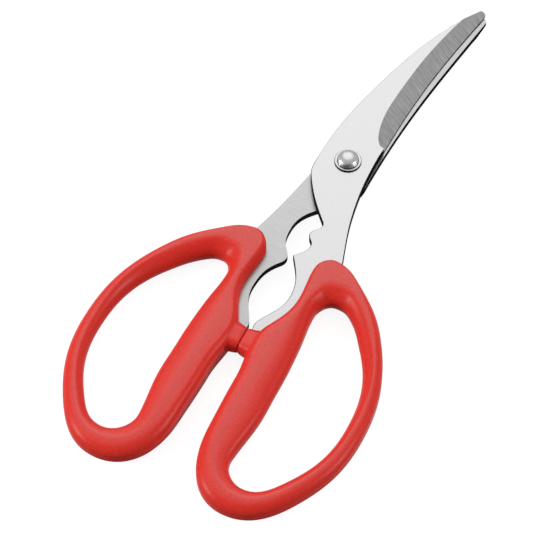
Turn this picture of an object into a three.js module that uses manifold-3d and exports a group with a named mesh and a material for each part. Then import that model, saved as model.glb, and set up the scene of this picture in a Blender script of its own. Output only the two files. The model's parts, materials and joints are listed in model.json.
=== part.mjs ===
// Seafood shears: two curved steel blades on a domed rivet, each with a moulded finger-loop handle.
// Millimetres, +Z up. The shears lie closed with the handles on the plane z = 0 and the tip towards +Y.
// Both halves are drawn as the front one: pivot at 0,0, blade towards +Y, handle on the +X side,
// z = 0 on the plane where the blades meet. The rear half is the same drawing turned half round Y.
import * as THREE from "three";
import { mergeVertices } from "three/addons/utils/BufferGeometryUtils.js";
import Module from "manifold-3d";

const wasm = await Module();
wasm.setup();

// Blade plates
const BLADE_REACH = 71.7; // pivot to the front blade's tip
const REAR_SHORT = 1.6; // how much less the rear blade reaches
const TIP_SIDE = 12.4; // how far the tip lies to the right of the pivot
const TIP_ROUND = 1.15;
const REAR_TIP_SIDE = 13.5;
const SPINE_SIDE = 8.7; // pivot to the front blade's spine
const REAR_SPINE_SIDE = 8.1;
const SPINE_MID_SIDE = 3.4; // a point half way up the front blade's spine
const SPINE_MID = 33.7;
const SPINE_CURVE_START = -2; // height where the spine begins to curve
const SHOULDER_DROP = 7.4; // below it, the plate turns in by this shoulder
const SHOULDER_TURN_IN = 1.05;
const EDGE_SIDE = 7.6; // pivot to the cutting edge's side of the plate
const HEEL = 9; // where the cutting edge begins
const PLATE_THICK = 2.4;
const EDGE_LAND = 0.45; // steel left at the cutting edge
const GRIND_WIDTH = 5.5;
const GRIND_RUNOUT = 17.5; // length over which the grind reaches its full width
const GRIND_START = 0.2; // width of the grind at the heel
const GRIND_TIP_LOSS = 1.9; // how much narrower it is at the tip than half way up

// Neck, notch and claw-cracking jaw
const NECK_SIDE = 9.65;
const REAR_NECK_SIDE = 10.35;
const NECK_HEIGHT = -16.5;
const COLLAR_TANG_SIDE = 15.2; // tang's outer edge inside the collar
const COLLAR_TANG_HEIGHT = -36;
const NOTCH_TOP_SIDE = 3.1;
const NOTCH_TOP = -23.3;
const TOOTH_SIDE = 1.35;
const TOOTH_HEIGHT = -28.4;
const TOOTH_HALF = 4; // tooth's middle to the bottom of the hollow above or below it
const HOLLOW_SIDE = 3.5;
const PLAIN_NOTCH_SIDE = 5.1; // rear notch, which has no tooth
const PLAIN_NOTCH_HEIGHT = -27.6;
const JAW_POINT_SIDE = 0.4;
const JAW_POINT = -37.5;
const REAR_POINT_SIDE = 1.55;
const REAR_POINT = -37.8;
const REAR_POINT_WIDE = 1.7; // the rear point is this much blunter
const REAR_POINT_HALF = 3.2; // over this height above and below it
const JAW_BELLY_SIDE = 5.95;
const JAW_BELLY = -50.8;
const JAW_FOOT_SIDE = 1.35;
const JAW_FOOT = -62.2;

// Tang inside the handle
const TANG_START = -66.5;
const TANG_IN = 7.2;
const TANG_OUT = 12.3;
const TANG_WAIST = -47; // where the tang passes the finger hole's corner
const TANG_END = -96.5;
const LOCK_HOLE_R = 1.6;
const LOCK_HOLE_SIDE = 9.75;
const LOCK_HOLES = [-76, -89];

// Pivot
const SHANK_R = 2.5;
const DOME_R = 3.3;
const DOME_HEIGHT = 2;
const DOME_POWER = 3; // 2 is an ellipse, and more makes the top flatter
const WASHER_R = 4.05;
const WASHER_THICK = 0.45;
const TAIL_R = 3.1;
const TAIL_HEIGHT = 1.1;

// Handle. A SIDE is the distance from the pivot line, and a HEIGHT is measured from the pivot.
const HANDLE_REACH = 119.8; // pivot to the end of the loop
const LOOP_REACH = 44; // pivot line to the outside of the loop
const LOOP_WALL = 5.1; // loop's width at its outside
const LOOP_END_WALL = 8; // and at its end
const GRIP_SIDE = 4.2; // pivot line to the grip
const GRIP_WIDTH = 12;
const GRIP_HALF = 4.6; // half thickness of grip and collar
const LOOP_HALF = 3.2; // half thickness on the outside of the loop
const OUTER_ROUND = 1.7; // rounding of the handle's outer edges
const HOLE_FLARE = 4.2; // rounding of the finger hole, measured in plan
const UNDER_SHARE = 0.4; // both roundings underneath, as a share of those on top

// Points of the handle's outer edge, clockwise from the collar's top
const COLLAR_TOP_SIDE = 13.6;
const COLLAR_TOP_HEIGHT = -34.4;
const SHOULDER_SIDE = 20.9;
const SHOULDER_HEIGHT = -37.45;
const LOOP_UPPER_SIDE = 34.65;
const LOOP_UPPER_HEIGHT = -50.7;
const LOOP_SIDE_HEIGHT = -81.9;
const LOOP_LOWER_SIDE = 36;
const LOOP_LOWER_HEIGHT = -109;
const LOOP_END_SIDE = 20;
const LOOP_BACK_SIDE = 6.35;
const LOOP_BACK_HEIGHT = -109.2;
const GRIP_LOW_SIDE = 4.55;
const GRIP_LOW_HEIGHT = -95.8;
const GRIP_HIGH_SIDE = 4.6;
const GRIP_HIGH_HEIGHT = -62.4;
const BELLY_SIDE = 8.5; // behind the jaw
const BELLY_HEIGHT = -50;
const COLLAR_SIDE = 7.65;
const COLLAR_HEIGHT = -40.2;
const COLLAR_CORNER_SIDE = 9.2;
const COLLAR_CORNER_HEIGHT = -36.3;

// Points of the finger hole, each facing one of those
const HOLE_TOP_SIDE = 19.1;
const HOLE_TOP_HEIGHT = -46.15;
const HOLE_SHOULDER_SIDE = 23.05;
const HOLE_SHOULDER_HEIGHT = -47.5;
const HOLE_UPPER_SIDE = 31.3;
const HOLE_UPPER_HEIGHT = -57.1;
const HOLE_LOWER_SIDE = 32.1;
const HOLE_LOWER_HEIGHT = -103.9;
const HOLE_END_SIDE = 22;
const HOLE_BACK_SIDE = 14.7;
const HOLE_BACK_HEIGHT = -103.8;
const HOLE_LOW_SIDE = 16.15;
const HOLE_LOW_HEIGHT = -91.4;
const HOLE_GRIP_HEIGHT = -78.9;
const HOLE_HIGH_SIDE = 15.4;
const HOLE_HIGH_HEIGHT = -63;
const HOLE_BELLY_SIDE = 14.3;
const HOLE_BELLY_HEIGHT = -51.5;
const HOLE_COLLAR_SIDE = 14.95;
const HOLE_COLLAR_HEIGHT = -49;
const HOLE_CORNER_SIDE = 16.55;
const HOLE_CORNER_HEIGHT = -47;

// Closing stop
const STOP_GAP = 0.3; // between the two stops when closed
const STOP_HALF = 3.1;
const STOP_TOP = -64.55;
const STOP_FOOT = -72.75;
const STOP_SLOPE = 1.3; // how far the stop's top falls towards its partner
const STOP_CORNER = 0.5;

// Clearances
const RUNNING_GAP = 0.06; // between surfaces that slide
const SEAT_GAP = 0.25; // round a tang in its handle

// Fineness of curves
const EASE = 0.38; // length of a curve's tangents as a share of its chord
const OUTLINE_STEP = 1.6;
const STRAIGHT = 1e-3; // a curve longer than its chord by less than this is straight
const ROUND_STEPS = 3; // steps in a quarter turn of the handle's outer edge
const FLARE_STEPS = 4;
const CIRCLE_SIDES = 40;

const steel = new THREE.MeshStandardMaterial({ color: 0xd6d8d9, roughness: 0.32, metalness: 1 });
const polished = new THREE.MeshStandardMaterial({ color: 0xe4e5e6, roughness: 0.1, metalness: 1 });
const redPlastic = new THREE.MeshStandardMaterial({ color: 0xcf3530, roughness: 0.45, metalness: 0 });

// Outlines

// A point of an outline, with the headings in degrees at which the outline arrives and leaves.
const at = (x, y, arrive, leave = arrive) => ({ x, y, arrive, leave });

function heading(degrees) {
  const angle = THREE.MathUtils.degToRad(degrees);
  return new THREE.Vector2(Math.cos(angle), Math.sin(angle));
}

function curveBetween(from, to) {
  const start = new THREE.Vector2(from.x, from.y);
  const end = new THREE.Vector2(to.x, to.y);
  const reach = start.distanceTo(end) * EASE;
  const first = start.clone().addScaledVector(heading(from.leave), reach);
  const second = end.clone().addScaledVector(heading(to.arrive), -reach);
  return new THREE.CubicBezierCurve(start, first, second, end);
}

function closedCurves(points) {
  return points.map((point, i) => curveBetween(point, points[(i + 1) % points.length]));
}

// A straight run needs no points between its ends.
function stepsOf(curve) {
  const length = curve.getLength();
  const straight = length - curve.v0.distanceTo(curve.v3) < STRAIGHT;
  return straight ? 1 : Math.max(2, Math.ceil(length / OUTLINE_STEP));
}

function outlinePoints(curves) {
  return curves.flatMap((curve) => curve.getPoints(stepsOf(curve)).slice(0, -1));
}

// The outline moved outwards. Outlines here run anticlockwise.
function grown(points, distance) {
  return points.map((point, i) => {
    const before = points[(i + points.length - 1) % points.length];
    const after = points[(i + 1) % points.length];
    const along = after.clone().sub(before).normalize();
    return new THREE.Vector2(point.x + along.y * distance, point.y - along.x * distance);
  });
}

function circlePath(x, y, radius) {
  return new THREE.Path().absarc(x, y, radius, 0, 2 * Math.PI, true);
}

// Solids

function solid(geometry) {
  const bare = geometry.clone();
  bare.deleteAttribute("normal");
  bare.deleteAttribute("uv");
  const merged = mergeVertices(bare, 1e-4);
  return new wasm.Manifold(
    new wasm.Mesh({
      numProp: 3,
      vertProperties: merged.attributes.position.array,
      triVerts: new Uint32Array(merged.index.array),
    }),
  );
}

function geometryOf(manifold) {
  const mesh = manifold.getMesh();
  const geometry = new THREE.BufferGeometry();
  geometry.setAttribute("position", new THREE.BufferAttribute(mesh.vertProperties, 3));
  geometry.setIndex(new THREE.BufferAttribute(mesh.triVerts, 1));
  geometry.computeVertexNormals();
  return geometry;
}

function plate(points, holes, bottom, thickness) {
  const shape = new THREE.Shape(points);
  shape.holes = holes;
  const options = { depth: thickness, bevelEnabled: false, curveSegments: CIRCLE_SIDES / 2 };
  return new THREE.ExtrudeGeometry(shape, options).translate(0, 0, bottom);
}

// Joins rings of points, all of one length, into a skin. The rings close on each other or get end caps.
function skin(rings, ringsClose) {
  const count = rings[0].length;
  const positions = rings.flat().flatMap((point) => point.toArray());
  const triangles = [];
  const spans = ringsClose ? rings.length : rings.length - 1;
  for (let i = 0; i < spans; i++) {
    const here = i * count;
    const next = ((i + 1) % rings.length) * count;
    for (let j = 0; j < count; j++) {
      const k = (j + 1) % count;
      triangles.push(here + j, here + k, next + k, here + j, next + k, next + j);
    }
  }
  if (!ringsClose) {
    const last = (rings.length - 1) * count;
    for (let j = 1; j + 1 < count; j++) {
      triangles.push(0, j + 1, j, last, last + j, last + j + 1);
    }
  }
  const geometry = new THREE.BufferGeometry();
  geometry.setAttribute("position", new THREE.Float32BufferAttribute(positions, 3));
  geometry.setIndex(triangles);
  return geometry;
}

// Blades

const toothedNotch = [
  at(NOTCH_TOP_SIDE, NOTCH_TOP, -46, -62),
  at(HOLLOW_SIDE, TOOTH_HEIGHT + TOOTH_HALF, -92),
  at(TOOTH_SIDE, TOOTH_HEIGHT, -90),
  at(HOLLOW_SIDE, TOOTH_HEIGHT - TOOTH_HALF, -92),
  at(JAW_POINT_SIDE, JAW_POINT, -130, -56),
];

const plainNotch = [
  at(PLAIN_NOTCH_SIDE, PLAIN_NOTCH_HEIGHT, -90),
  at(REAR_POINT_SIDE + REAR_POINT_WIDE, REAR_POINT + REAR_POINT_HALF, -128),
  at(REAR_POINT_SIDE, REAR_POINT, -90),
  at(REAR_POINT_SIDE + REAR_POINT_WIDE, REAR_POINT - REAR_POINT_HALF, -54),
];

const frontBlade = {
  notch: toothedNotch,
  neckSide: NECK_SIDE,
  shoulder: -SPINE_SIDE,
  edgeTip: at(TIP_SIDE + TIP_ROUND, BLADE_REACH - TIP_ROUND, 80),
  tip: at(TIP_SIDE, BLADE_REACH, 180),
  spine: [
    at(TIP_SIDE - TIP_ROUND, BLADE_REACH - TIP_ROUND, 240),
    at(-SPINE_MID_SIDE, SPINE_MID, 256),
  ],
};

// The rear blade curves the same way, which in its own drawing is to the left.
const rearReach = BLADE_REACH - REAR_SHORT;
const rearBlade = {
  notch: plainNotch,
  neckSide: REAR_NECK_SIDE,
  shoulder: -REAR_SPINE_SIDE,
  edgeTip: at(TIP_ROUND - REAR_TIP_SIDE, rearReach - TIP_ROUND, 120),
  tip: at(-REAR_TIP_SIDE, rearReach, 180),
  spine: [at(-REAR_TIP_SIDE - TIP_ROUND, rearReach - TIP_ROUND, 278)],
};

const heel = at(EDGE_SIDE, HEEL, 90);

function tangPoints() {
  const width = TANG_OUT - TANG_IN;
  return [
    at(JAW_FOOT_SIDE, TANG_START, -90, -30),
    at(TANG_IN, TANG_START - width, -90),
    at(TANG_IN, TANG_END + width / 2, -90),
    at((TANG_IN + TANG_OUT) / 2, TANG_END, 0),
    at(TANG_OUT, TANG_END + width / 2, 90),
    at(TANG_OUT, TANG_WAIST, 90),
  ];
}

function bladeOutline(blade) {
  const points = [
    blade.tip,
    ...blade.spine,
    at(blade.shoulder, SPINE_CURVE_START, -90),
    at(blade.shoulder + SHOULDER_TURN_IN, SPINE_CURVE_START - SHOULDER_DROP, -61),
    ...blade.notch,
    at(JAW_BELLY_SIDE, JAW_BELLY, -90),
    at(JAW_FOOT_SIDE, JAW_FOOT, -115),
    ...tangPoints(),
    at(COLLAR_TANG_SIDE, COLLAR_TANG_HEIGHT, 106),
    at(blade.neckSide, NECK_HEIGHT, 101),
    heel,
    blade.edgeTip,
  ];
  return outlinePoints(closedCurves(points));
}

// What the grinding wheel takes off: a slope from the face down to the cutting edge.
function grindCutter(blade) {
  const edge = curveBetween(heel, blade.edgeTip);
  const steps = stepsOf(edge);
  const over = PLATE_THICK + 1;
  const rings = [];
  for (let i = 0; i <= steps + 1; i++) {
    const share = Math.min(i / steps, 1);
    const along = edge.getTangentAt(share);
    const inward = new THREE.Vector2(-along.y, along.x);
    const from = edge.getPointAt(share);
    if (i > steps) from.addScaledVector(along, GRIND_WIDTH);
    const run = Math.min((share * edge.getLength()) / GRIND_RUNOUT, 1);
    const pastMiddle = Math.max(2 * share - 1, 0);
    const full = GRIND_WIDTH - GRIND_TIP_LOSS * pastMiddle ** 2;
    const width = full * Math.sqrt(1 - (1 - run) ** 2) + GRIND_START * (1 - run);
    const inner = from.clone().addScaledVector(inward, width);
    const outer = from.clone().addScaledVector(inward, -GRIND_WIDTH);
    rings.push([
      new THREE.Vector3(inner.x, inner.y, PLATE_THICK),
      new THREE.Vector3(inner.x, inner.y, over),
      new THREE.Vector3(outer.x, outer.y, over),
      new THREE.Vector3(outer.x, outer.y, EDGE_LAND),
      new THREE.Vector3(from.x, from.y, EDGE_LAND),
    ]);
  }
  return skin(rings, false);
}

function bladeMesh(name, blade) {
  const holes = [circlePath(0, 0, SHANK_R + RUNNING_GAP)];
  LOCK_HOLES.forEach((y) => holes.push(circlePath(LOCK_HOLE_SIDE, y, LOCK_HOLE_R)));
  const blank = solid(plate(bladeOutline(blade), holes, 0, PLATE_THICK));
  const ground = blank.subtract(solid(grindCutter(blade)));
  const mesh = new THREE.Mesh(geometryOf(ground), steel);
  mesh.name = name;
  mesh.position.z = RUNNING_GAP / 2;
  return mesh;
}

// Handles

const gripInside = GRIP_SIDE + GRIP_WIDTH;
const loopInside = LOOP_REACH - LOOP_WALL;
const holeEnd = LOOP_END_WALL - HANDLE_REACH;

// Stations round the loop: a point of the outer edge, the point of the finger hole that faces it,
// and half the thickness there.
const midHalf = (GRIP_HALF + LOOP_HALF) / 2;
const stations = [
  [at(COLLAR_TOP_SIDE, COLLAR_TOP_HEIGHT, -7), at(HOLE_TOP_SIDE, HOLE_TOP_HEIGHT, 0), GRIP_HALF],
  [at(SHOULDER_SIDE, SHOULDER_HEIGHT, -37), at(HOLE_SHOULDER_SIDE, HOLE_SHOULDER_HEIGHT, -38), GRIP_HALF],
  [at(LOOP_UPPER_SIDE, LOOP_UPPER_HEIGHT, -57), at(HOLE_UPPER_SIDE, HOLE_UPPER_HEIGHT, -54), midHalf],
  [at(LOOP_REACH, LOOP_SIDE_HEIGHT, -90), at(loopInside, LOOP_SIDE_HEIGHT, -90), LOOP_HALF],
  [at(LOOP_LOWER_SIDE, LOOP_LOWER_HEIGHT, -122), at(HOLE_LOWER_SIDE, HOLE_LOWER_HEIGHT, -124), LOOP_HALF],
  [at(LOOP_END_SIDE, -HANDLE_REACH, 180), at(HOLE_END_SIDE, holeEnd, 180), LOOP_HALF],
  [at(LOOP_BACK_SIDE, LOOP_BACK_HEIGHT, 109), at(HOLE_BACK_SIDE, HOLE_BACK_HEIGHT, 88), midHalf],
  [at(GRIP_LOW_SIDE, GRIP_LOW_HEIGHT, 92), at(HOLE_LOW_SIDE, HOLE_LOW_HEIGHT, 88), GRIP_HALF],
  [at(GRIP_SIDE, LOOP_SIDE_HEIGHT, 90), at(gripInside, HOLE_GRIP_HEIGHT, 90), GRIP_HALF],
  [at(GRIP_HIGH_SIDE, GRIP_HIGH_HEIGHT, 62), at(HOLE_HIGH_SIDE, HOLE_HIGH_HEIGHT, 95), GRIP_HALF],
  [at(BELLY_SIDE, BELLY_HEIGHT, 90), at(HOLE_BELLY_SIDE, HOLE_BELLY_HEIGHT, 90), GRIP_HALF],
  [at(COLLAR_SIDE, COLLAR_HEIGHT, 91), at(HOLE_COLLAR_SIDE, HOLE_COLLAR_HEIGHT, 64), GRIP_HALF],
  [at(COLLAR_CORNER_SIDE, COLLAR_CORNER_HEIGHT, 46), at(HOLE_CORNER_SIDE, HOLE_CORNER_HEIGHT, 38), GRIP_HALF],
];

// The loop's skin: at each step round it, a section from the hole's flare over to the rounded outer edge.
// Up is the side of the drawing, 1 or -1, that lies on top.
function loopSkin(up) {
  const rings = [];
  stations.forEach(([outerStart, holeStart, halfStart], i) => {
    const [outerEnd, holeEnd, halfEnd] = stations[(i + 1) % stations.length];
    const outer = curveBetween(outerStart, outerEnd);
    const hole = curveBetween(holeStart, holeEnd);
    const steps = Math.max(stepsOf(outer), stepsOf(hole)) / 2;
    for (let step = 0; step < steps; step++) {
      const share = step / Math.ceil(steps);
      const half = THREE.MathUtils.lerp(halfStart, halfEnd, THREE.MathUtils.smoothstep(share, 0, 1));
      rings.push(loopSection(outer, hole, share, half, up));
    }
  });
  return skin(rings, true);
}

function loopSection(outer, hole, share, half, up) {
  const edge = outer.getPoint(share);
  const rim = hole.getPoint(share);
  const width = edge.distanceTo(rim);
  const across = edge.clone().sub(rim).normalize();
  const round = Math.min(OUTER_ROUND, half / 2, width / 2.4);
  const flare = Math.min(HOLE_FLARE, width - round * 1.05);
  const shareOn = (side) => (side === up ? 1 : UNDER_SHARE);
  const section = [];
  const put = (from, distance, z) => {
    const place = from.clone().addScaledVector(across, distance);
    section.push(new THREE.Vector3(place.x, place.y, z));
  };
  for (let i = -FLARE_STEPS; i <= FLARE_STEPS; i++) {
    const angle = (i / FLARE_STEPS) * (Math.PI / 2);
    const reach = flare * shareOn(i < 0 ? 1 : -1);
    put(rim, reach * (1 - Math.cos(angle)), -half * Math.sin(angle));
  }
  for (const side of [-1, 1]) {
    const radius = round * shareOn(side);
    for (let i = 0; i <= ROUND_STEPS; i++) {
      const turn = side < 0 ? ROUND_STEPS - i : i;
      const angle = (turn / ROUND_STEPS) * (Math.PI / 2);
      const z = side * (half - radius + radius * Math.sin(angle));
      put(edge, radius * (Math.cos(angle) - 1), z);
    }
  }
  return section;
}

// The block on the grip that meets its partner when the shears close.
function stopBlock() {
  const near = STOP_GAP / 2;
  const root = GRIP_SIDE + OUTER_ROUND;
  const outline = new THREE.Shape([
    new THREE.Vector2(near, STOP_TOP - STOP_SLOPE),
    new THREE.Vector2(near, STOP_FOOT + STOP_CORNER),
    new THREE.Vector2(near + STOP_CORNER, STOP_FOOT),
    new THREE.Vector2(GRIP_SIDE - STOP_CORNER, STOP_FOOT),
    new THREE.Vector2(root, STOP_FOOT - STOP_SLOPE),
    new THREE.Vector2(root, STOP_TOP + STOP_SLOPE),
  ]);
  const options = {
    depth: 2 * (STOP_HALF - STOP_CORNER),
    bevelThickness: STOP_CORNER,
    bevelSize: STOP_CORNER,
    bevelOffset: -STOP_CORNER,
    bevelSegments: 2,
  };
  return new THREE.ExtrudeGeometry(outline, options).translate(0, 0, STOP_CORNER - STOP_HALF);
}

// The room that the blade's tang takes in its handle, with pegs left standing in the lock holes.
function tangRoom() {
  const pegs = LOCK_HOLES.map((y) => circlePath(LOCK_HOLE_SIDE, y, LOCK_HOLE_R - SEAT_GAP));
  const outline = grown(bladeOutline(frontBlade), SEAT_GAP);
  return plate(outline, pegs, RUNNING_GAP / 2 - SEAT_GAP, PLATE_THICK + 2 * SEAT_GAP);
}

function handleMesh(name, up) {
  const body = solid(loopSkin(up)).add(solid(stopBlock())).subtract(solid(tangRoom()));
  const mesh = new THREE.Mesh(geometryOf(body), redPlastic);
  mesh.name = name;
  return mesh;
}

// Pivot

function turned(name, profile) {
  const points = profile.map(([radius, z]) => new THREE.Vector2(radius, z));
  const geometry = new THREE.LatheGeometry(points, CIRCLE_SIDES).rotateX(Math.PI / 2);
  const mesh = new THREE.Mesh(geometryOf(solid(geometry)), polished);
  mesh.name = name;
  return mesh;
}

const frontFace = RUNNING_GAP / 2 + PLATE_THICK;
const washerSeat = frontFace + RUNNING_GAP;
const domeSeat = washerSeat + WASHER_THICK;
const tailSeat = -frontFace - WASHER_THICK;

function rivetProfile() {
  const tail = [];
  const dome = [];
  const steps = CIRCLE_SIDES / 4;
  for (let i = 0; i <= steps; i++) {
    const angle = (i / steps) * (Math.PI / 2);
    tail.push([TAIL_R * Math.sin(angle), tailSeat - TAIL_HEIGHT * Math.cos(angle)]);
    dome.push([DOME_R * Math.cos(angle) ** (2 / DOME_POWER), domeSeat + DOME_HEIGHT * Math.sin(angle)]);
  }
  return [...tail, [SHANK_R, tailSeat], [SHANK_R, domeSeat], ...dome];
}

function washerProfile(bottom) {
  const inside = SHANK_R + RUNNING_GAP;
  const top = bottom + WASHER_THICK;
  return [
    [inside, bottom],
    [WASHER_R, bottom],
    [WASHER_R, top],
    [inside, top],
    [inside, bottom],
  ];
}

// Assembly: the origin is on the table under the middle of the whole length.
const shears = new THREE.Group();
const shift = (HANDLE_REACH - BLADE_REACH) / 2;

const frontHalf = new THREE.Group();
frontHalf.add(bladeMesh("front_blade", frontBlade), handleMesh("right_handle", 1));

const rearHalf = new THREE.Group();
rearHalf.rotation.y = Math.PI;
rearHalf.add(bladeMesh("rear_blade", rearBlade), handleMesh("left_handle", -1));

const pivot = new THREE.Group();
pivot.add(
  turned("pivot_rivet", rivetProfile()),
  turned("front_washer", washerProfile(washerSeat)),
  turned("rear_washer", washerProfile(tailSeat)),
);

for (const group of [frontHalf, rearHalf, pivot]) {
  group.position.set(0, shift, GRIP_HALF);
  shears.add(group);
}

export default shears;
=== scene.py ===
"""Seafood shears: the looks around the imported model.

Both halves are drawn as the front one, in millimetres: pivot at 0, 0, blade towards +Y, handle on
the +X side, and z = 0 on the plane where the blades meet. The rear half is the same drawing turned
half round Y. Every mesh is brought into the model's frame, in metres, when it is made.
"""

import json
import math
from collections import namedtuple

import bmesh
import bpy
import numpy as np
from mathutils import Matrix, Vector


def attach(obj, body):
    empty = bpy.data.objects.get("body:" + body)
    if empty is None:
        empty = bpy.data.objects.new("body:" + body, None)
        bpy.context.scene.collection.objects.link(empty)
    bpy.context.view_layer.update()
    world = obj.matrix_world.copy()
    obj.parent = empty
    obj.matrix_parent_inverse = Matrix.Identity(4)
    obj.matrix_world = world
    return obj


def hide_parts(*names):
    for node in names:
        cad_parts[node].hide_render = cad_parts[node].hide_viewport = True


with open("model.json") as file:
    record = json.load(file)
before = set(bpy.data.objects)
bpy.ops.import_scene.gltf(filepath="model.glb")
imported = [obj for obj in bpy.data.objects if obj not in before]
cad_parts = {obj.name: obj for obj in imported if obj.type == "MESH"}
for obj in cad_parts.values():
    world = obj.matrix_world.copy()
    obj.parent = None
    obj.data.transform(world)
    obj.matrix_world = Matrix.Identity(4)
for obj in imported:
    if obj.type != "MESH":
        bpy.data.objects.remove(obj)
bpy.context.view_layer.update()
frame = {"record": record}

MM = 0.001
PIVOT = np.array(frame["record"]["behaviour"]["joints"][0]["pos_m"])
FRONT = 1
REAR = -1

# Blade plates
BLADE_REACH = 71.7
REAR_REACH = 70.1
TIP_SIDE = 12.4
REAR_TIP_SIDE = 13.5
TIP_ROUND = 1.15
PLATE_THICK = 2.4
RUNNING_GAP = 0.06
EDGE_LAND = 0.45
GRIND_WIDTH = 5.5
GRIND_RUNOUT = 17.5
GRIND_START = 0.2
GRIND_TIP_LOSS = 1.9
FACE_CHAMFER = 0.2
PIVOT_HOLE_R = 2.56

# Pivot
SHANK_R = 2.5
DOME_R = 3.3
DOME_HEIGHT = 2.0
DOME_POWER = 3.0
WASHER_R = 4.05
WASHER_THICK = 0.45
WASHER_CHAMFER = 0.15
TAIL_R = 3.1
TAIL_HEIGHT = 1.1

# Handles
GRIP_HALF = 4.6
LOOP_HALF = 3.2
MID_HALF = (GRIP_HALF + LOOP_HALF) / 2
EDGE_TURN = math.radians(60)
CREASE = 0.18
SOFT_REACH = 1.2
LEAST_BEND = 0.02  # change of slope between flare and face
UNDER_ROUND = 0.4  # roundings below, as a share of those on top
GRIP_SIDE = 10.0  # the grip's wall lies nearer to the middle than this
STOP_FACE = 0.15
STOP_MIDDLE = -68.75
STOP_HALF_HEIGHT = 4.2
STOP_HALF_THICK = 3.1
STOP_CORNER = 2.6
STOP_EDGE = 1.0
STOP_SPAN = 10.0  # the closing stop ends well within this distance of its middle

# Fineness
EASE = 0.38  # reach of a curve's control points, as a share of its chord
CURVE_SAMPLES = 200
PLATE_STEP = 0.45
SPINE_STEPS = 170
CAP_STEP = 0.05
TIP_STEP = 0.08
TIP_SEARCH = 3 * TIP_ROUND
CHAMFER_RUNOUT = 8  # points over which the chamfer runs out
LOOP_STEP = 0.8
STOP_STEP = 0.14
FLARE_STEPS = 16
FACE_STEPS = 11
GRIND_COLUMNS = 4
CIRCLE_SIDES = 96
CIRCLE_ANGLES = np.linspace(0, 2 * math.pi, CIRCLE_SIDES, endpoint=False)
DOME_STEPS = 24
# Steps at the dome's foot that are coloured near-black: a painted shadow
SHADOW_FOOT_STEPS = 2
PLATE_SHARP = 30  # degrees from which an edge is drawn sharp
TURNED_SHARP = 35
HANDLE_SHARP = 50
WELD_DISTANCE = 1e-7  # metres
PARALLEL = 1e-12  # two lines that cross by less count as parallel
TOUCH = 1e-4  # a row that starts this near to a line doesn't meet it there

# Heights of a handle's wall, as shares of the height where the face ends, close where the edges turn
WALL_LEVELS = np.r_[
    np.linspace(1, 0.82, 12), np.linspace(0.81, 0.53, 24), np.linspace(0.5, -0.5, 15),
    np.linspace(-0.53, -0.81, 24), np.linspace(-0.82, -1, 12),
]

# Kinds of face on a blade, and on the rivet and the washers, in the order of their materials. Blade walls
# and the pivot's painted-shade kind take near-black steel, a painted shade.
FACE, BEVEL, WALL = range(3)
BRIGHT, PAINTED_SHADE = range(2)


# Curves

def direction(degrees):
    angle = math.radians(degrees)
    return np.array([math.cos(angle), math.sin(angle)])


def bezier(start, end, shares):
    """Points from one node to the next.

    A node is x, y, heading and, at a corner, the heading it leaves at.
    """
    first, last = np.array(start[:2]), np.array(end[:2])
    reach = EASE * np.linalg.norm(last - first)
    second = first + reach * direction(start[-1])
    third = last - reach * direction(end[2])
    t = np.asarray(shares)[:, None]
    return (1 - t) ** 3 * first + 3 * (1 - t) ** 2 * t * second + 3 * (1 - t) * t**2 * third + t**3 * last


def path(nodes, step):
    """The curve through the nodes in even steps, with both ends and every node kept."""
    pieces = []
    for start, end in zip(nodes[:-1], nodes[1:]):
        dense = bezier(start, end, np.linspace(0, 1, CURVE_SAMPLES))
        count = max(2, math.ceil(running_length(dense)[-1] / step))
        pieces.append(resample(dense, count)[:-1])
    return np.vstack(pieces + [np.array(nodes[-1][:2])[None]])


def resample(points, count):
    """The same line in a number of even steps."""
    along = running_length(points)
    places = np.linspace(0, along[-1], count + 1)
    return np.stack([np.interp(places, along, points[:, k]) for k in range(2)], axis=1)


def running_length(points):
    """How far along a line each of its points lies."""
    return np.r_[0, np.cumsum(np.linalg.norm(np.diff(points, axis=0), axis=1))]


def headings(points):
    """The unit vector along a line at each of its points."""
    along = np.gradient(points, axis=0)
    return along / np.linalg.norm(along, axis=1)[:, None]


def smooth(value):
    """A step from 0 to 1 that begins and ends level."""
    value = np.clip(value, 0, 1)
    return value * value * (3 - 2 * value)


# Meshes

def placed(points, half):
    """Drawing points of one half, brought into the model's frame."""
    return np.asarray(points, float) * np.array([half, 1, half]) * MM + PIVOT


def wrapped(rings, count, steps):
    """Faces between each ring of points and the next one, and from the last ring to the first."""
    faces = []
    for i in range(rings):
        here, after = i * count, (i + 1) % rings * count
        for j in range(steps):
            k = (j + 1) % count
            faces.append((here + j, after + j, after + k, here + k))
    return faces


def mesh_object(name, points, faces, materials, face_materials, sharp):
    """A closed mesh, with sharp edges where its material changes or it turns by the angle given."""
    mesh = bpy.data.meshes.new(name)
    mesh.from_pydata([tuple(p) for p in points], [], faces)
    for material in materials:
        mesh.materials.append(material)
    mesh.polygons.foreach_set("material_index", face_materials)
    build = bmesh.new()
    build.from_mesh(mesh)
    bmesh.ops.remove_doubles(build, verts=build.verts, dist=WELD_DISTANCE)
    bmesh.ops.recalc_face_normals(build, faces=build.faces)
    for face in build.faces:
        face.smooth = True
    for edge in build.edges:
        one, other = edge.link_faces
        seam = one.material_index != other.material_index
        edge.smooth = not seam and edge.calc_face_angle() < math.radians(sharp)
    build.to_mesh(mesh)
    build.free()
    thing = bpy.data.objects.new(name, mesh)
    bpy.context.collection.objects.link(thing)
    return thing


# Handles

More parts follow.
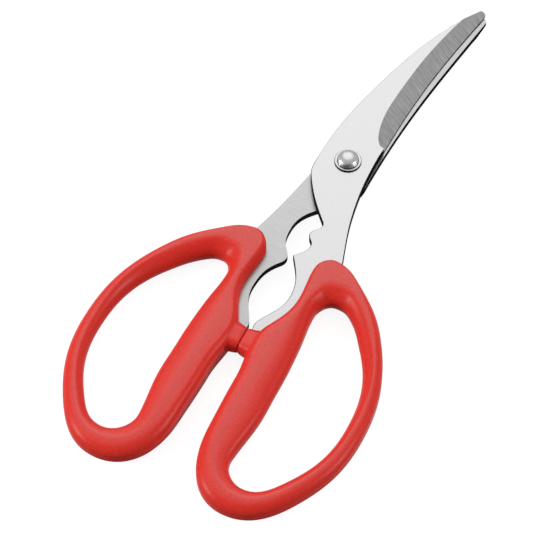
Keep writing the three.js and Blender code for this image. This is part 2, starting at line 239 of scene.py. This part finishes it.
# A station has a node of the outer edge, the node of the finger hole opposite, and the sizes there:
# half thickness, width and depth of the outer edge's rounding, width and bow of the hole's flare,
# and crown of the face.
STATIONS = [
    ((13.6, -34.4, -7), (19.1, -46.15, 0), (GRIP_HALF, 1.1, 1.5, 4.5, 2.0, 0.06)),
    ((20.9, -37.45, -37), (23.05, -47.5, -38), (GRIP_HALF, 1.5, 1.9, 4.5, 2.0, 0.10)),
    ((34.65, -50.7, -57), (31.3, -57.1, -54), (MID_HALF, 1.9, 2.3, 3.4, 2.0, 0.15)),
    ((44.0, -81.9, -90), (38.9, -81.9, -90), (LOOP_HALF, 1.9, 2.3, 1.5, 2.5, 0.15)),
    ((36.0, -109.0, -122), (32.1, -103.9, -124), (LOOP_HALF, 2.4, 2.7, 1.9, 3.5, 0.22)),
    ((20.0, -119.8, 180), (22.0, -111.8, 180), (3.3, 3.1, 2.9, 2.5, 4.0, 0.22)),
    ((6.35, -109.2, 109), (14.7, -103.8, 86), (3.8, 2.9, 3.1, 3.4, 4.0, 0.28)),
    ((4.55, -95.8, 92), (16.15, -91.4, 85), (4.35, 2.2, 2.6, 4.2, 3.5, 0.35)),
    ((4.2, -81.9, 90), (16.2, -78.9, 90), (GRIP_HALF, 2.1, 2.5, 4.4, 3.0, 0.35)),
    ((4.6, -62.4, 62), (15.4, -63.0, 95), (GRIP_HALF, 1.7, 2.5, 3.6, 3.2, 0.30)),
    ((8.5, -50.0, 90), (14.3, -51.5, 90), (GRIP_HALF, 1.2, 2.8, 2.5, 2.4, 0.20)),
    ((7.65, -40.2, 91), (14.95, -49.0, 64), (GRIP_HALF, 2.3, 3.6, 3.4, 1.9, 0.06)),
    ((9.2, -36.3, 46), (16.55, -47.0, 38), (GRIP_HALF, 1.0, 1.7, 4.4, 1.9, 0.06)),
]


def loop_sections(up):
    """Sections round the loop, each from the hole's flare over to the outer edge and back under."""
    count = len(STATIONS)
    sections = []
    for i in range(count):
        outers, holes, sizes = zip(*(STATIONS[(i + k) % count] for k in (-1, 0, 1, 2)))
        shares = section_shares(*outers[1:3])
        outer = bezier(*outers[1:3], shares)
        hole = bezier(*holes[1:3], shares)
        size_rows = blended(*sizes, shares)
        size_rows[:, 0] = np.minimum(size_rows[:, 0], GRIP_HALF)
        for edge, rim, size in zip(outer, hole, size_rows):
            sections.append(loop_section(edge, rim, size, up))
    return sections


def section_shares(start, end):
    """Where the sections stand between two outer nodes: closer together at the closing stop."""
    low, high = sorted((start[1], end[1]))
    at_stop = low < STOP_MIDDLE < high and start[0] < GRIP_SIDE
    length = np.linalg.norm(np.array(end[:2]) - np.array(start[:2]))
    count = math.ceil(length / (STOP_STEP if at_stop else LOOP_STEP))
    return np.arange(count) / count


def blended(before, start, end, after, shares):
    """Sizes between two stations, on a curve that keeps its slope from station to station."""
    before, start, end, after = (np.array(row) for row in (before, start, end, after))
    t = shares[:, None]
    leave, arrive = (end - before) / 2, (after - start) / 2
    ease = t * t * (3 - 2 * t)
    return start + (end - start) * ease + leave * t * (1 - t) ** 2 - arrive * t * t * (1 - t)


def loop_section(edge, rim, size, up):
    """One section. Up is the side of the drawing that faces up; the edges below are less rounded."""
    half, inset, depth, flare, bow, crown = size
    width = np.linalg.norm(edge - rim)
    across = (edge - rim) / width
    top = half - crown
    shrinks = {up: 1, -up: UNDER_ROUND}
    sides = {}
    for side, shrink in shrinks.items():
        rows = face_rows(width - (flare + inset) * shrink, top, flare * shrink, bow, crown)
        sides[side] = [(*(rim + across * past), side * height) for past, height in rows]
    wall = []
    for level in WALL_LEVELS:
        height = top * level
        shrink = shrinks[1 if level > 0 else -1]
        share = (abs(height) - top) / (depth * shrink) + 1
        x, y = edge - across * inset * shrink * eased_edge(share)
        wall.append((stop_side(x, y, height), y, height))
    return sides[1] + wall + sides[-1][:0:-1]


def eased_edge(share):
    """How far a rounded edge has drawn in at a share of its depth. It meets the face at a soft crease."""
    angle = np.arcsin(np.clip(share, 0, 1) * math.sin(EDGE_TURN))
    return (1 - np.cos(angle)) / (1 - math.cos(EDGE_TURN))


def face_rows(strip, top, flare, bow, crown):
    """Distance from the hole's rim and height: up the flare, over its blend, and along the face."""
    blend = SOFT_REACH * max(top / (bow * flare) - 4 * crown / strip, LEAST_BEND)
    reach = 1 + blend / top
    rows = []
    for share in reach * np.sin(np.linspace(0, math.pi / 2, FLARE_STEPS + 1)):
        past = flare * share**bow
        face = face_height((past - flare) / strip, top, crown)
        rows.append((past, soft_minimum(top * share, face, blend)))
    begin = (flare * reach**bow - flare) / strip
    for share in np.linspace(begin, 1 - CREASE / strip, FACE_STEPS + 1)[1:]:
        rows.append((flare + strip * share, face_height(share, top, crown)))
    return rows


def face_height(share, top, crown):
    """Height of the handle's face, highest along its middle, and going on straight into the flare."""
    return top + 4 * crown * share * (1 - max(share, 0))


def soft_minimum(one, other, blend):
    """The lower of two heights, with a rounded change from one to the other."""
    near = max(blend - abs(one - other), 0) / blend
    return min(one, other) - near * near * blend / 4


def stop_side(x, y, z):
    """Moves a point of the grip's wall out towards the other handle where the closing stop stands."""
    if x > GRIP_SIDE or abs(y - STOP_MIDDLE) > STOP_SPAN:
        return x
    corner_y = abs(y - STOP_MIDDLE) - (STOP_HALF_HEIGHT - STOP_CORNER)
    corner_z = abs(z) - (STOP_HALF_THICK - STOP_CORNER)
    outside = math.hypot(max(corner_y, 0), max(corner_z, 0)) + min(max(corner_y, corner_z), 0)
    share = smooth((STOP_CORNER + STOP_EDGE / 2 - outside) / STOP_EDGE)
    return x + (STOP_FACE - x) * share


def make_handle(name, half, material):
    sections = loop_sections(half)
    count = len(sections[0])
    points = placed([p for section in sections for p in section], half)
    faces = wrapped(len(sections), count, count)
    return mesh_object(name, points, faces, [material], [0] * len(faces), HANDLE_SHARP)


# Blades

TOOTHED_NOTCH = [
    (3.1, -23.3, -46, -62), (3.5, -24.4, -92), (1.35, -28.4, -90),
    (3.5, -32.4, -92), (0.4, -37.5, -130, -56),
]
PLAIN_NOTCH = [
    (5.1, -27.6, -90), (3.25, -34.6, -128), (1.55, -37.8, -90), (3.25, -41.0, -54),
]
JAW = [(5.95, -50.8, -90), (1.35, -62.2, -115)]
TANG = [
    (1.35, -66.5, -90, -30), (7.2, -71.6, -90), (7.2, -93.95, -90), (9.75, -96.5, 0),
    (12.3, -93.95, 90), (12.3, -47.0, 90), (15.2, -36.0, 106),
]
HEEL = (7.6, 9.0, 90)

# A row across the ground bevel: its origin on the edge's line, the ray inward, where along the ray
# it begins and ends, its full width, and where it meets the line of tip and spine, if it does.
GrindRow = namedtuple("GrindRow", "origin ray begin end width meeting")


def front_blade():
    neck = (-8.7, -2.0, -90)
    return {
        "edge_tip": (TIP_SIDE + TIP_ROUND, BLADE_REACH - TIP_ROUND, 80),
        "tip": (TIP_SIDE, BLADE_REACH, 180),
        "spine": [(TIP_SIDE - TIP_ROUND, BLADE_REACH - TIP_ROUND, 240), (-3.4, 33.7, 256), neck],
        "lower": [neck, (-7.65, -9.4, -61), *TOOTHED_NOTCH, *JAW, *TANG, (9.65, -16.5, 101), HEEL],
    }


def rear_blade():
    neck = (-8.1, -2.0, -90)
    return {
        "edge_tip": (TIP_ROUND - REAR_TIP_SIDE, REAR_REACH - TIP_ROUND, 120),
        "tip": (-REAR_TIP_SIDE, REAR_REACH, 180),
        "spine": [(-REAR_TIP_SIDE - TIP_ROUND, REAR_REACH - TIP_ROUND, 278), neck],
        "lower": [neck, (-7.05, -9.4, -61), *PLAIN_NOTCH, *JAW, *TANG, (10.35, -16.5, 101), HEEL],
    }


def crossings(origin, ray, line):
    """Distances along a ray at which it crosses a polyline, with the place along the line of each."""
    start, step = line[:-1], np.diff(line, axis=0)
    det = ray[0] * step[:, 1] - ray[1] * step[:, 0]
    det = np.where(abs(det) < PARALLEL, PARALLEL, det)
    gap = start - origin
    far = (gap[:, 0] * step[:, 1] - gap[:, 1] * step[:, 0]) / det
    share = (gap[:, 0] * ray[1] - gap[:, 1] * ray[0]) / det
    hit = np.nonzero((share >= 0) & (share < 1))[0]
    return sorted((far[i], i + share[i]) for i in hit)


def grind_rows(blade):
    """Rows across the ground bevel from heel to tip, and the line of tip and spine that cuts them off."""
    edge = path([HEEL, blade["edge_tip"]], PLATE_STEP)
    cap = path([blade["edge_tip"], blade["tip"], *blade["spine"]], CAP_STEP)
    along = running_length(edge)
    tangents = headings(edge)
    rows = []
    for origin, tangent, run in zip(edge[:-1], tangents, along):
        rows.append(clipped_row(origin, tangent, grind_width(run, along[-1]), cap, False))
    width = grind_width(along[-1], along[-1])
    for extra in np.arange(0, TIP_SEARCH, TIP_STEP):
        row = clipped_row(edge[-1] + tangents[-1] * extra, tangents[-1], width, cap, True)
        if row is not None:
            rows.append(row)
    return rows, cap


def grind_width(run, length):
    """Width of the bevel: it runs out in a curve at the heel and narrows a little towards the tip."""
    share = min(run / GRIND_RUNOUT, 1)
    past_middle = max(2 * run / length - 1, 0)
    full = GRIND_WIDTH - GRIND_TIP_LOSS * past_middle**2
    return full * math.sqrt(1 - (1 - share) ** 2) + GRIND_START * (1 - share)


def clipped_row(origin, tangent, width, cap, past_edge):
    """A row, cut off where it meets the line of tip and spine.

    Past the end of the edge it also begins on that line, and there is no row where it misses it.
    """
    ray = np.array([-tangent[1], tangent[0]])
    hits = [hit for hit in crossings(origin, ray, cap) if hit[0] > TOUCH or past_edge]
    if past_edge:
        if len(hits) < 2:
            return None
        return GrindRow(origin, ray, hits[0][0], hits[1][0], width, hits[1][1])
    if hits and hits[0][0] < width:
        return GrindRow(origin, ray, 0.0, hits[0][0], width, hits[0][1])
    return GrindRow(origin, ray, 0.0, width, width, None)


class Draft:
    """Points and faces of a mesh, and the kind of each face, as they are gathered."""

    def __init__(self):
        self.points = []
        self.faces = []
        self.kinds = []

    def add(self, xy, z):
        self.points.append((xy[0], xy[1], z))
        return len(self.points) - 1

    def add_below(self, index):
        """A point on the inner face, straight below another."""
        return self.add(self.points[index][:2], 0)

    def put(self, kind, *corners):
        self.faces.append(corners)
        self.kinds.append(kind)


def make_blade(name, blade, half, materials):
    """The plate with its ground bevel: materials are for the faces, the bevel and the walls; the bevel is
    darkened and the walls are near-black, both painted shade.
    """
    rows, cap = grind_rows(blade)
    full = sum(1 for row in rows if row.meeting is None)
    draft = Draft()
    grid, tip = add_bevel(draft, rows, blade["tip"])
    edge_foot = add_edge_wall(draft, grid, grid[full:], tip)
    corner = grid[full][-1]
    after_corner = int(rows[full].meeting) + 1
    spine = resample(np.vstack([draft.points[corner][:2], cap[after_corner:]]), SPINE_STEPS)
    lower = path(blade["lower"], PLATE_STEP)
    rim, foot = add_outer_wall(draft, spine, lower, corner, grid[0], edge_foot)
    add_faces(draft, [corner, *rim] + [row[-1] for row in grid[:full]], [*edge_foot, *foot])
    lifted = np.array(draft.points) + np.array([0, 0, RUNNING_GAP / 2])
    return mesh_object(name, placed(lifted, half), draft.faces, materials, draft.kinds, PLATE_SHARP)


def add_bevel(draft, rows, tip):
    """The ground bevel. Returns the points of its rows and the point of the tip."""
    grid = []
    for row in rows:
        depths = np.linspace(row.begin, row.end, GRIND_COLUMNS + 1)
        fall = (PLATE_THICK - EDGE_LAND) / row.width
        grid.append([draft.add(row.origin + row.ray * d, EDGE_LAND + fall * d) for d in depths])
    for here, after in zip(grid[:-1], grid[1:]):
        for j in range(GRIND_COLUMNS):
            draft.put(BEVEL, here[j], here[j + 1], after[j + 1], after[j])
    last = grid[-1]
    tip_point = draft.add(tip[:2], draft.points[last[0]][2])
    for j in range(GRIND_COLUMNS):
        draft.put(BEVEL, last[j], last[j + 1], tip_point)
    return grid, tip_point


def add_edge_wall(draft, grid, capped, tip):
    """The wall under the edge, round the tip and under the rows cut off there. Returns its foot."""
    under_edge = [draft.add_below(row[0]) for row in grid]
    under_spine = [draft.add_below(row[-1]) for row in capped]
    under_tip = draft.add_below(tip)
    top = [row[0] for row in grid] + [tip] + [row[-1] for row in reversed(capped)]
    foot = under_edge + [under_tip] + under_spine[::-1]
    for i in range(len(top) - 1):
        draft.put(WALL, foot[i], foot[i + 1], top[i + 1], top[i])
    return foot


def add_outer_wall(draft, spine, lower, corner, heel_row, edge_foot):
    """The wall and its chamfer from the corner of spine and bevel, round the tang, to the heel.

    The chamfer is bright along the spine alone; elsewhere it is near-black, a painted shade that outlines
    the plate. Returns the points of the upper rim and of the foot.
    """
    outline = np.vstack([spine[:-1], lower])
    inset, sizes = chamfer_inset(outline)
    ledge = [draft.add(p, PLATE_THICK - size) for p, size in zip(outline[1:-1], sizes[1:-1])]
    rim = [draft.add(p, PLATE_THICK) for p in inset[1:-1]]
    foot = [draft.add(p, 0) for p in outline[1:-1]]
    heel = draft.add(outline[-1], PLATE_THICK)
    for i in range(len(foot) - 1):
        # Off the spine the chamfer takes the near-black wall steel: a painted shade outline
        chamfer = FACE if i < SPINE_STEPS else WALL
        draft.put(WALL, foot[i], foot[i + 1], ledge[i + 1], ledge[i])
        draft.put(chamfer, ledge[i], ledge[i + 1], rim[i + 1], rim[i])
    draft.put(WALL, edge_foot[-1], foot[0], ledge[0], corner)
    draft.put(FACE, corner, ledge[0], rim[0])
    draft.put(WALL, foot[-1], edge_foot[0], heel_row[0], heel, ledge[-1])
    draft.put(WALL, ledge[-1], heel, rim[-1])
    draft.put(BEVEL, *heel_row, heel)
    return [*rim, heel], foot


def chamfer_inset(outline):
    """The outline moved in by its chamfer, which runs out at both ends, and the chamfer at each point."""
    along = headings(outline)
    inward = np.stack([-along[:, 1], along[:, 0]], axis=1)
    places = np.arange(len(outline))
    size = FACE_CHAMFER * smooth(np.minimum(places, places[::-1]) / CHAMFER_RUNOUT)
    return outline + inward * size[:, None], size


def add_faces(draft, top, foot):
    """The flat faces inside the two outlines, with the pivot hole through them."""
    ring = PIVOT_HOLE_R * np.stack([np.cos(CIRCLE_ANGLES), np.sin(CIRCLE_ANGLES)], axis=1)
    hole_top = [draft.add(p, PLATE_THICK) for p in ring]
    hole_foot = [draft.add(p, 0) for p in ring]
    for i in range(CIRCLE_SIDES):
        k = (i + 1) % CIRCLE_SIDES
        draft.put(WALL, hole_foot[i], hole_foot[k], hole_top[k], hole_top[i])
    for loop, hole in ((top, hole_top), (foot, hole_foot)):
        for corners in filled(draft.points, loop, hole):
            draft.put(FACE, *corners)


def filled(points, loop, hole):
    """Triangles of a flat face with one hole, as indexes into the points."""
    build = bmesh.new()
    verts = {i: build.verts.new(Vector(points[i])) for i in [*loop, *hole]}
    edges = []
    for ring in (loop, hole):
        for a, b in zip(ring, ring[1:] + ring[:1]):
            edges.append(build.edges.new((verts[a], verts[b])))
    names = {vert: i for i, vert in verts.items()}
    bmesh.ops.triangle_fill(build, edges=edges, use_beauty=True)
    triangles = [tuple(names[v] for v in face.verts) for face in build.faces]
    build.free()
    return triangles


# Pivot

def turned(name, profile, materials, kinds):
    """A solid of revolution about the pivot, from a profile of radius and height.

    Each step of the profile has a kind. As many kinds as points close it back to its start.
    """
    points = [(r * math.cos(a), r * math.sin(a), z) for a in CIRCLE_ANGLES for r, z in profile]
    faces = wrapped(CIRCLE_SIDES, len(profile), len(kinds))
    face_kinds = kinds * CIRCLE_SIDES
    return mesh_object(name, placed(points, FRONT), faces, materials, face_kinds, TURNED_SHARP)


def make_rivet(name, seat, tail_seat, materials):
    """Dome in front, shank, and tail behind. The foot of the dome is near-black, a painted shadow where
    it stands on the washer.
    """
    turn = np.linspace(0, math.pi / 2, DOME_STEPS + 1)
    tail = [(TAIL_R * math.sin(a), tail_seat - TAIL_HEIGHT * math.cos(a)) for a in turn]
    flatter = 2 / DOME_POWER
    dome = [(DOME_R * math.cos(a) ** flatter, seat + DOME_HEIGHT * math.sin(a)) for a in turn[:-1]]
    profile = [*tail, (SHANK_R, tail_seat), (SHANK_R, seat), *dome, (0.0, seat + DOME_HEIGHT)]
    foot = len(tail) + 2
    kinds = [BRIGHT] * (len(profile) - 1)
    # The dome's foot takes the near-black steel: a painted shadow
    kinds[foot:foot + SHADOW_FOOT_STEPS] = [PAINTED_SHADE] * SHADOW_FOOT_STEPS
    return turned(name, profile, materials, kinds)


def make_washer(name, bottom, materials):
    top = bottom + WASHER_THICK
    c = WASHER_CHAMFER
    profile = [
        (PIVOT_HOLE_R, bottom), (WASHER_R - c, bottom), (WASHER_R, bottom + c),
        (WASHER_R, top - c), (WASHER_R - c, top), (PIVOT_HOLE_R, top),
    ]
    # The washer's outer wall and chamfers are near-black: a painted shade round its edge
    return turned(name, profile, materials, [BRIGHT, PAINTED_SHADE, PAINTED_SHADE, PAINTED_SHADE, BRIGHT, BRIGHT])


# Materials

# Colours, the darkest and the lightest of each
FRONT_STEEL = ((0.415, 0.415, 0.418), (0.455, 0.455, 0.458))
# The rear blade's steel is coloured darker than the front's: painted shade
SHADED_REAR_STEEL = ((0.31, 0.31, 0.312), (0.41, 0.41, 0.413))
# The ground bevel is coloured darker than the faces, a painted shade, with the grind's streaks across its
# range
SHADED_GROUND_STEEL = ((0.24, 0.24, 0.243), (0.48, 0.48, 0.484))
# Near-black steel for blade walls, chamfer outlines and pivot rims: painted shade, not the steel's own
# colour
SHADED_EDGE_STEEL = ((0.012, 0.012, 0.013), (0.04, 0.04, 0.041))
POLISHED_STEEL = ((0.44, 0.44, 0.444), (0.52, 0.52, 0.524))
RED_SIDES = ((0.56, 0.024, 0.016), (0.655, 0.033, 0.023))
# The flat faces are coloured a darker red than the roundings: painted shade on what faces up
SHADED_RED_FACES = ((0.495, 0.025, 0.017), (0.58, 0.034, 0.024))

# The part of a noise's range that is used
COLOUR_SPAN = (0.3, 0.7)
NOISE_SPAN = (0.25, 0.75)

# How far the plastic's surface is turned up where it changes: 0 is a wall, 1 a flat face
WALL_TO_ROUNDING = (0.2, 0.6)
ROUNDING_TO_FACE = (0.88, 0.99)
EDGE_TO_FLAT = (0.985, 0.9995)

GRAIN_SCALE = 1500.0
GRAIN_DEPTH = 0.0001
BRUSH_DEPTH = 0.00002
BRUSH_ROUGHNESS = 0.05

# Sockets of a Mix node that mixes colours
MIX_FACTOR, MIX_LOW, MIX_HIGH, MIX_RESULT = 0, 6, 7, 2


def new_material(name):
    material = bpy.data.materials.new(name)
    material.use_nodes = True
    tree = material.node_tree
    shader = tree.nodes["Principled BSDF"]
    return material, tree, shader


def add_node(tree, kind, **inputs):
    node = tree.nodes.new(kind)
    for key, value in inputs.items():
        node.inputs[key.replace("_", " ")].default_value = value
    return node


def math_node(tree, operation, *terms):
    """Arithmetic on sockets. Returns its result."""
    node = tree.nodes.new("ShaderNodeMath")
    node.operation = operation
    for term, socket in zip(terms, node.inputs):
        tree.links.new(term, socket)
    return node.outputs["Value"]


def grain_noise(tree, **inputs):
    """Fine even noise over the object. Returns its factor."""
    place = tree.nodes.new("ShaderNodeTexCoord")
    noise = add_node(tree, "ShaderNodeTexNoise", Scale=GRAIN_SCALE, Detail=2.0, **inputs)
    tree.links.new(place.outputs["Object"], noise.inputs["Vector"])
    return noise.outputs["Fac"]


def streaks(tree, scale, tilt):
    """Noise drawn out into fine parallel lines in the plane of the blades. Returns its factor."""
    place = tree.nodes.new("ShaderNodeTexCoord")
    turn = add_node(tree, "ShaderNodeMapping", Rotation=(0, 0, math.radians(-tilt)))
    stretch = add_node(tree, "ShaderNodeMapping", Scale=scale)
    noise = add_node(tree, "ShaderNodeTexNoise", Scale=1.0, Detail=5.0, Roughness=0.7)
    tree.links.new(place.outputs["Object"], turn.inputs["Vector"])
    tree.links.new(turn.outputs["Vector"], stretch.inputs["Vector"])
    tree.links.new(stretch.outputs["Vector"], noise.inputs["Vector"])
    return noise.outputs["Fac"]


def ramp(tree, factor, colours):
    node = tree.nodes.new("ShaderNodeValToRGB")
    for element, position, colour in zip(node.color_ramp.elements, COLOUR_SPAN, colours):
        element.position = position
        element.color = (*colour, 1)
    tree.links.new(factor, node.inputs["Fac"])
    return node.outputs["Color"]


def ranged(tree, factor, low, high, span=NOISE_SPAN):
    start, end = span
    node = add_node(tree, "ShaderNodeMapRange", From_Min=start, From_Max=end, To_Min=low, To_Max=high)
    tree.links.new(factor, node.inputs["Value"])
    return node.outputs["Result"]


def bump(tree, shader, height, distance):
    """Relief on the shader. Returns the socket of its strength."""
    node = add_node(tree, "ShaderNodeBump", Distance=distance)
    tree.links.new(height, node.inputs["Height"])
    tree.links.new(node.outputs["Normal"], shader.inputs["Normal"])
    return node.inputs["Strength"]


def steel(name, colours, roughness, scale, tilt, relief):
    material, tree, shader = new_material(name)
    lines = streaks(tree, scale, tilt)
    shader.inputs["Metallic"].default_value = 1.0
    shader.inputs["Specular Tint"].default_value = (*colours[1], 1)
    tree.links.new(ramp(tree, lines, colours), shader.inputs["Base Color"])
    rough = ranged(tree, lines, roughness - BRUSH_ROUGHNESS, roughness + BRUSH_ROUGHNESS)
    tree.links.new(rough, shader.inputs["Roughness"])
    bump(tree, shader, lines, BRUSH_DEPTH).default_value = relief
    return material


def red_plastic():
    """Fine grain on the flat faces, smooth roundings on top, and dull walls and lower edges. The flat
    faces are painted a darker red, as shade.
    """
    material, tree, shader = new_material("red_plastic")
    grain = grain_noise(tree, Roughness=0.6)
    place = tree.nodes.new("ShaderNodeTexCoord")
    parts = tree.nodes.new("ShaderNodeSeparateXYZ")
    tree.links.new(place.outputs["Normal"], parts.inputs["Vector"])
    upward = parts.outputs["Z"]
    flatness = math_node(tree, "ABSOLUTE", upward)
    colour = tree.nodes.new("ShaderNodeMix")
    colour.data_type = "RGBA"
    # Faces that look straight up take the darker red: painted shade
    tree.links.new(ranged(tree, flatness, 0.0, 1.0, EDGE_TO_FLAT), colour.inputs[MIX_FACTOR])
    tree.links.new(ramp(tree, grain, RED_SIDES), colour.inputs[MIX_LOW])
    tree.links.new(ramp(tree, grain, SHADED_RED_FACES), colour.inputs[MIX_HIGH])
    tree.links.new(colour.outputs[MIX_RESULT], shader.inputs["Base Color"])
    tree.links.new(ranged(tree, flatness, 0.33, 0.38, ROUNDING_TO_FACE), shader.inputs["Roughness"])
    edge_shine = ranged(tree, upward, 0.02, 0.12, WALL_TO_ROUNDING)
    face_shine = ranged(tree, flatness, 0.0, 0.48, ROUNDING_TO_FACE)
    shine = math_node(tree, "ADD", edge_shine, face_shine)
    tree.links.new(shine, shader.inputs["Specular IOR Level"])
    strength = bump(tree, shader, grain, GRAIN_DEPTH)
    tree.links.new(ranged(tree, flatness, 0.03, 0.5, ROUNDING_TO_FACE), strength)
    return material


def chrome():
    material, tree, shader = new_material("polished_steel")
    haze = grain_noise(tree)
    shader.inputs["Metallic"].default_value = 1.0
    tree.links.new(ramp(tree, haze, POLISHED_STEEL), shader.inputs["Base Color"])
    tree.links.new(ranged(tree, haze, 0.30, 0.38), shader.inputs["Roughness"])
    return material


front_faces = steel(
    "brushed_front", FRONT_STEEL, roughness=0.30, scale=(350, 6000, 350), tilt=90, relief=0.10,
)
rear_faces = steel(
    "brushed_rear_painted_shade", SHADED_REAR_STEEL, roughness=0.34, scale=(300, 4500, 300), tilt=0, relief=0.15,
)
ground = steel(
    "ground_bevel_painted_shade", SHADED_GROUND_STEEL, roughness=0.32, scale=(150, 2600, 150), tilt=-23.5, relief=0.20,
)
shaded_edges = steel(
    "painted_shade_edge", SHADED_EDGE_STEEL, roughness=0.45, scale=(1500, 1500, 200), tilt=0, relief=0.30,
)
red = red_plastic()
polished = chrome()

# Pieces

washer_seat = RUNNING_GAP / 2 + PLATE_THICK + RUNNING_GAP
dome_seat = washer_seat + WASHER_THICK
tail_seat = -RUNNING_GAP / 2 - PLATE_THICK - WASHER_THICK

pieces = {
    "front_blade": make_blade("front_blade_steel", front_blade(), FRONT, [front_faces, ground, shaded_edges]),
    "rear_blade": make_blade("rear_blade_steel", rear_blade(), REAR, [rear_faces, ground, shaded_edges]),
    "right_handle": make_handle("right_handle_plastic", FRONT, red),
    "left_handle": make_handle("left_handle_plastic", REAR, red),
    "pivot_rivet": make_rivet("pivot_rivet_steel", dome_seat, tail_seat, [polished, shaded_edges]),
    "front_washer": make_washer("front_washer_steel", washer_seat, [polished, shaded_edges]),
    "rear_washer": make_washer("rear_washer_steel", tail_seat, [polished, shaded_edges]),
}
BODIES = frame["record"]["behaviour"]["bodies"]
for node, piece in pieces.items():
    body = next(name for name, nodes in BODIES.items() if node in nodes)
    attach(piece, body)
    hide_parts(node)

# Stage

FLOOR_SIZE = 6.0
FLOOR_COLOUR = (0.20, 0.20, 0.20)
FLOOR_ROUGHNESS = 0.9
FLOOR_GLOW = 0.885
WHITE = (1, 1, 1, 1)
DARK_FADE = (0.0, 0.7)  # cosines of the angle to the dark side


def make_floor():
    """A pale floor that takes the shadow. Its glow is seen, also in reflections, but lights nothing."""
    half = FLOOR_SIZE / 2
    corners = [(-half, -half, 0), (half, -half, 0), (half, half, 0), (-half, half, 0)]
    material, tree, shader = new_material("pale_floor")
    shader.inputs["Base Color"].default_value = (*FLOOR_COLOUR, 1)
    shader.inputs["Roughness"].default_value = FLOOR_ROUGHNESS
    glow = add_node(tree, "ShaderNodeEmission", Color=WHITE)
    rays = tree.nodes.new("ShaderNodeLightPath").outputs
    seen = math_node(tree, "MAXIMUM", rays["Is Camera Ray"], rays["Is Glossy Ray"])
    seen = math_node(tree, "MAXIMUM", seen, rays["Is Transmission Ray"])
    level = math_node(tree, "MULTIPLY", seen)
    level.node.inputs[1].default_value = FLOOR_GLOW
    tree.links.new(level, glow.inputs["Strength"])
    both = tree.nodes.new("ShaderNodeAddShader")
    tree.links.new(shader.outputs["BSDF"], both.inputs[0])
    tree.links.new(glow.outputs["Emission"], both.inputs[1])
    tree.links.new(both.outputs["Shader"], tree.nodes["Material Output"].inputs["Surface"])
    mesh = bpy.data.meshes.new("floor")
    mesh.from_pydata(corners, [], [(0, 1, 2, 3)])
    mesh.materials.append(material)
    floor = bpy.data.objects.new("floor", mesh)
    bpy.context.collection.objects.link(floor)


def make_lamp(name, place, size, power):
    """A soft lamp that points at the middle of the floor."""
    lamp = bpy.data.lights.new(name, "AREA")
    lamp.shape = "RECTANGLE"
    lamp.size, lamp.size_y = size
    lamp.energy = power
    thing = bpy.data.objects.new(name, lamp)
    thing.location = place
    thing.rotation_euler = (-Vector(place)).to_track_quat("-Z", "Y").to_euler()
    bpy.context.collection.objects.link(thing)


def make_world(lit, dark, dark_side):
    """Soft light from all round that fades towards one dark side."""
    world = bpy.data.worlds.new("studio")
    world.use_nodes = True
    tree = world.node_tree
    place = tree.nodes.new("ShaderNodeTexCoord")
    along = tree.nodes.new("ShaderNodeVectorMath")
    along.operation = "DOT_PRODUCT"
    along.inputs[1].default_value = Vector(dark_side).normalized()
    tree.links.new(place.outputs["Generated"], along.inputs[0])
    background = tree.nodes["Background"]
    background.inputs["Color"].default_value = WHITE
    strength = ranged(tree, along.outputs["Value"], lit, dark, DARK_FADE)
    tree.links.new(strength, background.inputs["Strength"])
    bpy.context.scene.world = world


make_floor()
make_world(lit=0.80, dark=0.10, dark_side=(0.5, -0.8, -0.25))
make_lamp("softbox", place=(-0.28, 0.60, 0.75), size=(0.6, 0.62), power=1.55)
make_lamp("left_key", place=(-0.72, -0.52, 0.43), size=(0.29, 0.29), power=5.6)
make_lamp("right_lamp", place=(0.90, 0.13, 0.42), size=(0.26, 0.26), power=3.8)

# Camera: where the photograph was taken from

CAMERA_TARGET = Vector((-0.005415, -0.019048, 0.0046))
CAMERA_BACK = Vector((0.24861, -0.49278, 0.83389))
CAMERA_DISTANCE = 0.6936
CAMERA_LENS = 161.3
SENSOR_WIDTH = 36

lens = bpy.data.cameras.new("camera")
lens.sensor_width = SENSOR_WIDTH
lens.lens = CAMERA_LENS
camera = bpy.data.objects.new("camera", lens)
camera.location = CAMERA_TARGET + CAMERA_BACK * CAMERA_DISTANCE
camera.rotation_euler = CAMERA_BACK.to_track_quat("Z", "Y").to_euler()
bpy.context.collection.objects.link(camera)
bpy.context.scene.camera = camera
bpy.context.scene.view_settings.view_transform = "Standard"
